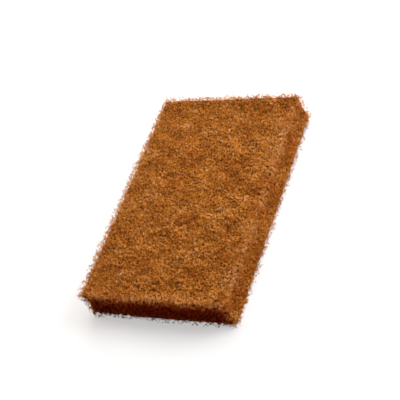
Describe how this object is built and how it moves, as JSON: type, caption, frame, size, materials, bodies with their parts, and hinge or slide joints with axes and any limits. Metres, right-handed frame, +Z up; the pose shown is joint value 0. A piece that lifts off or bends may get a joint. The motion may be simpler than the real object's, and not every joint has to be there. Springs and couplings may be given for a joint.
{
  "type": "abrasive hand pad",
  "caption": "Thick rectangular block of lofty non-woven fibre web, coated with abrasive, for scouring and finishing by hand; either face works.",
  "frame": {"origin": "middle of the pad's outline, on the plane that the tufts of its lower face rest on", "axes": "+X along the length, +Y across the width, +Z up through the thickness, out of the working face"},
  "size_m": [0.15, 0.095, 0.019],
  "materials": {
    "fibre_web": "matte"
  },
  "bodies": {
    "root": {"hand_pad": "fibre_web"}
  },
  "joints": []
}
